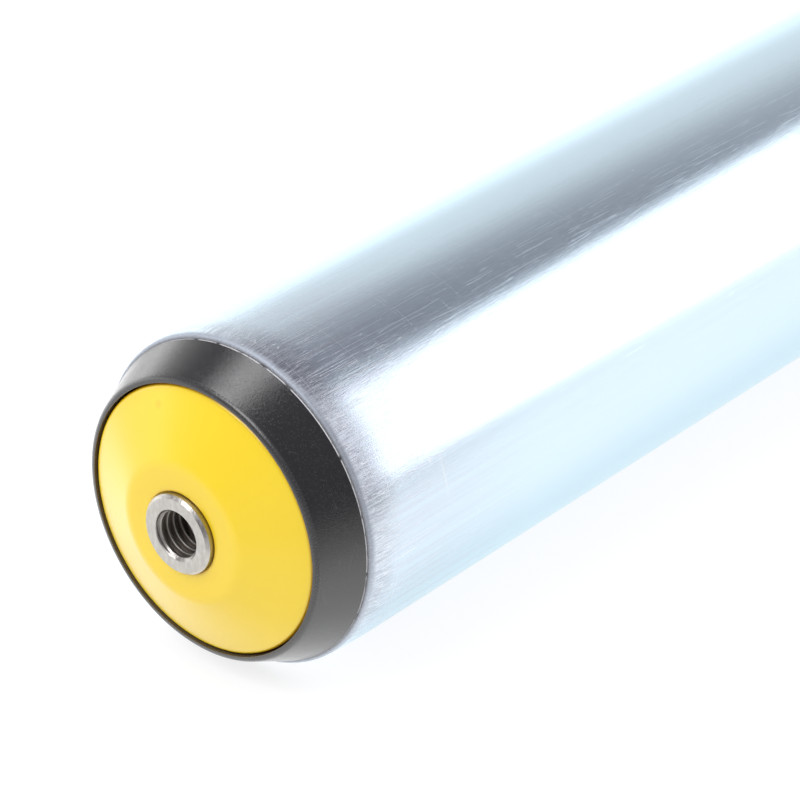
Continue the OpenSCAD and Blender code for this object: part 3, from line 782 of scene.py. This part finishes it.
def makeBearingFinish(name, finish):
    # Ground, pressed or moulded: turning marks and a slow change of colour and gloss.
    material, tree, shader, place = startMaterial(name + "_finish", {"Metallic": finish["metallic"]})
    layer = makeLayers(tree, place, bearingLayers)
    ring = useGroup(tree, turning, {"Vector": place, "Pitch": finish["pitch"]}).outputs["Height"]
    darker = tuple(0.8 * c for c in finish["colour"][:3]) + (1,)
    shade = larger(tree, times(tree, layer["cloudy"], 0.5), layer["dots"])
    tree.links.new(mixColour(tree, shade, finish["colour"], darker), shader.inputs["Base Color"])
    rough = mathOf(tree, "MULTIPLY_ADD", ring, 0.12, finish["roughness"])
    tree.links.new(rough, shader.inputs["Roughness"])
    setBump(tree, shader, ring, 0.2, 0.02 * mm)
    return material


bearingMaterials = {name: makeBearingFinish(name, finish) for name, finish in bearingFinishes.items()}
slotOfNode = {part["node"]: part["material_slot"] for part in frame["record"]["subparts"]}
for nodeName, node in frame["nodes"].items():
    if slotOfNode[nodeName] in bearingMaterials:
        node.data.materials.clear()
        node.data.materials.append(bearingMaterials[slotOfNode[nodeName]])
print("bearing finishes set")


# Places on the floor are in metres. In mirrors it darkens to the right by fade, from one end of
# fadeOver to the other, and gains leftGlow at the left, nearGlow nearer by and endGlow under the end.
stageSettings = {"floorSize": 8.0, "paper": (0.75, 0.75, 0.75, 1), "seen": (0.32, 0.32, 0.32, 1),
                 "glow": 0.78, "lift": 0.1, "fade": 0.7, "fadeOver": (0.045, 0.13),
                 "leftGlow": 0.4, "leftOver": (0.0, -0.06), "frontOver": (-0.19, -0.15),
                 "nearGlow": 0.95, "nearOver": (-0.03, -0.08),
                 "endGlow": 0.45, "endOver": (0.018, 0.008)}


def makeFloor():
    # White paper: what the camera and mirrors see of it is lifted to white, and keeps the shadow. In
    # mirrors it is brighter to the left and under the near end, and darkens away to the right.
    s = stageSettings
    half = s["floorSize"] / 2
    level = cadBox[0][2]
    corners = np.array([[-half, -half, level], [half, -half, level],
                        [half, half, level], [-half, half, level]])
    floor = meshObject("floor", corners, np.array([[0, 1, 2, 3]]))
    material, tree, shader, place = startMaterial("floor_paper", {
        "Roughness": 0.9, "Specular IOR Level": 0.0})
    path = addNode(tree, "ShaderNodeLightPath").outputs
    mirrored = larger(tree, path["Is Glossy Ray"], path["Is Transmission Ray"])
    seen = larger(tree, path["Is Camera Ray"], mirrored)
    x, y = addNode(tree, "ShaderNodeSeparateXYZ", {0: place}).outputs[:2]
    outward = mathOf(tree, "SUBTRACT", x, mathOf(tree, "ADD", y, halfTube * mm))
    fade = rangeOf(tree, outward, *s["fadeOver"], 0.0, s["fade"])
    left = times(tree, rangeOf(tree, x, *s["leftOver"]), rangeOf(tree, y, *s["frontOver"]))
    left = times(tree, left, rangeOf(tree, y, *s["nearOver"], s["leftGlow"], s["nearGlow"]))
    fromEnd = mathOf(tree, "ABSOLUTE", mathOf(tree, "ADD", y, (halfTube + 3) * mm))
    end = rangeOf(tree, fromEnd, *s["endOver"], 0.0, s["endGlow"])
    change = mathOf(tree, "SUBTRACT", larger(tree, left, end), fade)
    lift = mathOf(tree, "MULTIPLY_ADD", mathOf(tree, "ADD", change, s["lift"]), mirrored, seen)
    colour = mixColour(tree, seen, s["paper"], s["seen"])
    tree.links.new(colour, shader.inputs["Base Color"])
    tree.links.new(times(tree, lift, s["glow"]), shader.inputs["Emission Strength"])
    shader.inputs["Emission Color"].default_value = (1, 1, 1, 1)
    clear = addNode(tree, "ShaderNodeBsdfTransparent")
    back = addNode(tree, "ShaderNodeNewGeometry").outputs["Backfacing"]
    sided = addNode(tree, "ShaderNodeMixShader", {0: back, 1: shader.outputs[0], 2: clear.outputs[0]})
    tree.links.new(sided.outputs[0], tree.nodes["Material Output"].inputs["Surface"])
    floor.data.materials.append(material)


lamps = {
    "rearSoftbox": {"toward": (0.525, 0.755, 0.392), "along": (0.6, 0, -0.8), "away": 3.0,
                    "size": (2.5, 1.1), "level": 1.25},
    "rearSoftboxEdge": {"toward": (0.585, 0.68, 0.44), "along": (0.6, 0, -0.8), "away": 3.1,
                        "size": (2.9, 1.9), "level": 0.5},
    "overheadSoftbox": {"toward": (-0.27, -0.02, 0.96), "along": (1, 0, 0), "away": 2.0,
                        "size": (0.8, 0.8), "level": 4.6},
    "frontSoftbox": {"toward": (-0.10, -0.62, 0.78), "along": (1, 0, 0), "away": 2.0,
                     "size": (1.2, 1.0), "level": 4.6}}


def makeLamp(name, settings):
    # Power is level * pi * area, so that level is the brightness of the lamp's face.
    width, height = settings["size"]
    data = bpy.data.lights.new(name, "AREA")
    data.shape, data.size, data.size_y = "RECTANGLE", width, height
    data.energy = settings["level"] * math.pi * width * height
    lamp = bpy.data.objects.new(name, data)
    bpy.context.scene.collection.objects.link(lamp)
    back = Vector(settings["toward"]).normalized()
    side = Vector(settings["along"])
    side = (side - back * side.dot(back)).normalized()
    up = back.cross(side)
    aim = Vector((0, -halfTube * mm, 0))
    lamp.matrix_world = Matrix.Translation(aim + back * settings["away"]) @ Matrix(
        (side, up, back)).transposed().to_4x4()
    lamp.visible_camera = False


# Directions are parts of a unit vector. In mirrors the white surround goes to dark with rising height,
# counted as higher to the right and to the front.
worldSettings = {"fill": (0.58, 0.585, 0.60, 1), "dark": (0.275, 0.262, 0.292, 1),
                 "low": 1.3, "middle": 0.92, "lowOver": (-0.32, -0.10), "darkOver": (0.10, 0.50),
                 "rise": {"right": 0.6, "left": 0.25, "back": -0.35},
                 "leftGlow": 1.5, "leftOver": (-0.70, -0.90), "leftBelow": (0.36, 0.12)}


def makeWorld():
    # Diffuse light is an even fill. Mirrors see a white surround, brightest low on the left, that
    # darkens overhead and to the right.
    s = worldSettings
    world = bpy.data.worlds.new("studio")
    bpy.context.scene.world = world
    world.use_nodes = True
    tree = world.node_tree
    path = addNode(tree, "ShaderNodeLightPath").outputs
    way = addNode(tree, "ShaderNodeTexCoord").outputs["Generated"]
    x, y, z = addNode(tree, "ShaderNodeSeparateXYZ", {0: way}).outputs
    ways = {"right": larger(tree, x, 0.0), "left": mathOf(tree, "MINIMUM", x, 0.0), "back": y}
    raised = addShares(tree, z, ways, s["rise"])
    lowLeft = times(tree, rangeOf(tree, x, *s["leftOver"], 0.0, s["leftGlow"]),
                    rangeOf(tree, z, *s["leftBelow"]))
    level = mathOf(tree, "ADD", rangeOf(tree, raised, *s["lowOver"], s["low"], s["middle"]), lowLeft)
    colour = mixColour(tree, rangeOf(tree, raised, *s["darkOver"]), level, s["dark"])
    mirrored = larger(tree, path["Is Glossy Ray"], path["Is Transmission Ray"])
    colour = mixColour(tree, mirrored, s["fill"], colour)
    colour = mixColour(tree, path["Is Camera Ray"], colour, (1, 1, 1, 1))
    tree.links.new(colour, tree.nodes["Background"].inputs["Color"])


makeFloor()
for lampName, lampSettings in lamps.items():
    makeLamp(lampName, lampSettings)
makeWorld()
bpy.context.scene.view_settings.view_transform = "Standard"
print("floor, lamps and world made")


cameraSettings = {"lens": 155.0, "azimuth": math.radians(40.22), "elevation": math.radians(28.99),
                  "distance": 0.47547, "right": 0.02288, "up": 0.01411}


def makeCamera():
    # Looks at a point beside the middle of the near end's flange.
    s = cameraSettings
    a, e = s["azimuth"], s["elevation"]
    right = Vector((math.cos(a), math.sin(a), 0))
    back = Vector((math.sin(a) * math.cos(e), -math.cos(a) * math.cos(e), math.sin(e)))
    up = back.cross(right)
    flange = Vector((0, -(halfTube + housingShape["groove"]) * mm, 0))
    data = bpy.data.cameras.new("camera")
    data.lens, data.clip_start, data.clip_end = s["lens"], 0.01, 50
    camera = bpy.data.objects.new("camera", data)
    bpy.context.scene.collection.objects.link(camera)
    place = flange + right * s["right"] + up * s["up"] + back * s["distance"]
    camera.matrix_world = Matrix.Translation(place) @ Matrix((right, up, back)).transposed().to_4x4()
    bpy.context.scene.camera = camera


makeCamera()
print("camera made")
